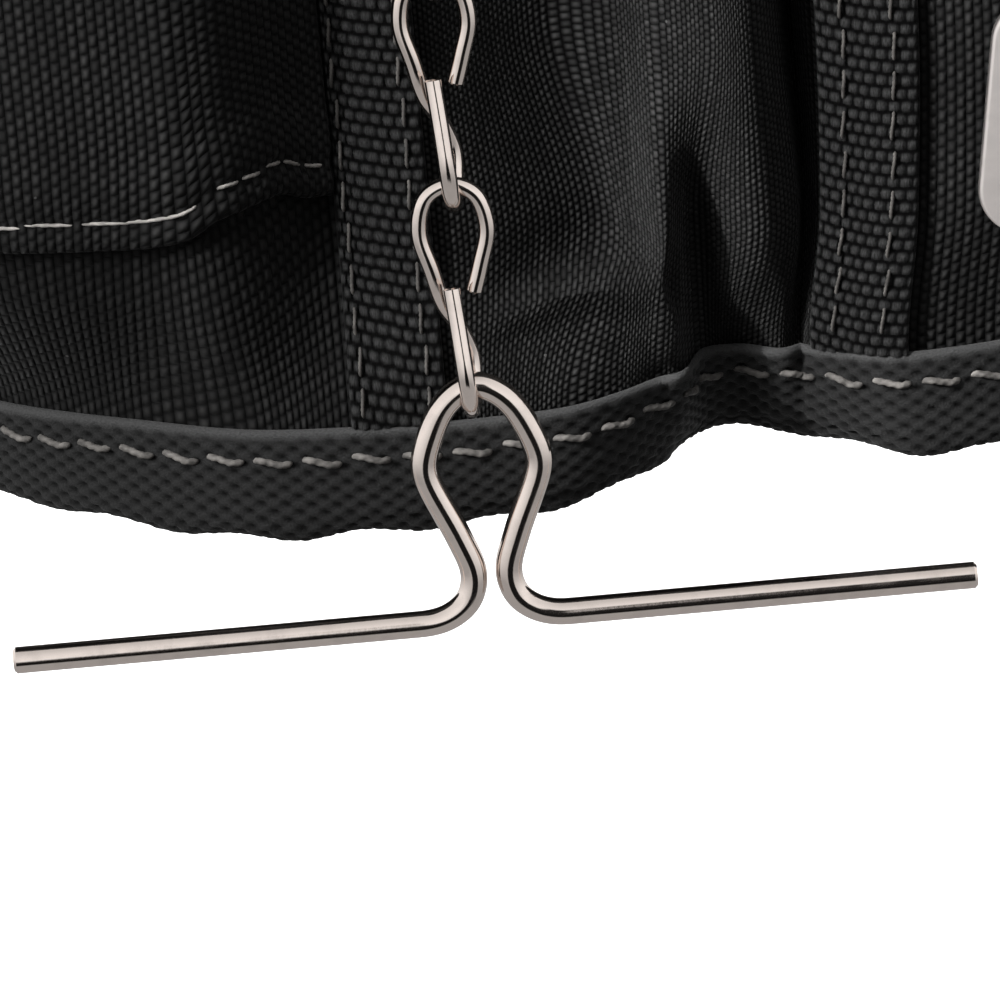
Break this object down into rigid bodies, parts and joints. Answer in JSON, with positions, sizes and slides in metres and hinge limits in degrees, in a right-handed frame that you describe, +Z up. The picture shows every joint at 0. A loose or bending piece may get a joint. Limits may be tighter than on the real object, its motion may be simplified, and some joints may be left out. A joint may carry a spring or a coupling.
{
  "type": "tool pouch",
  "caption": "Belt tool pouch of woven nylon with a bellied, pleated front, webbing straps, a bound foot, a tape clip and a jack chain that carries a wire T-bar for rolls of tape.",
  "frame": {"origin": "middle of the belt tunnel on the back of the pouch", "axes": "+Z up as worn, +X to the right seen from the front, the front faces -Y"},
  "size_m": [0.1808, 0.1122, 0.2693],
  "materials": {
    "nylon": "black ballistic weave",
    "webbing": "black webbing",
    "binding": "charcoal folded tape",
    "nickel": "bright nickel plate"
  },
  "bodies": {
    "pouch": {"back_panel": "nylon", "belt_tunnel": "nylon", "main_wall": "nylon", "base_panel": "nylon", "pocket_left": "nylon", "pocket_center": "nylon", "pocket_right": "nylon", "patch_pocket": "nylon", "strap_left": "webbing", "strap_right": "webbing", "bottom_binding": "binding", "chain_link_1": "nickel", "chain_link_2": "nickel", "chain_link_3": "nickel", "chain_link_4": "nickel", "chain_link_5": "nickel", "chain_link_6": "nickel", "chain_rivet": "nickel", "tape_clip": "nickel"},
    "t_bar": {"t_bar": "nickel"}
  },
  "joints": [
    {"name": "t_bar_swing", "type": "hinge", "parent": "pouch", "child": "t_bar", "pos_m": [-0.0162, -0.0995, -0.1914], "axis": [-1, 0, 0], "range_deg": [-10, 80]}
  ]
}
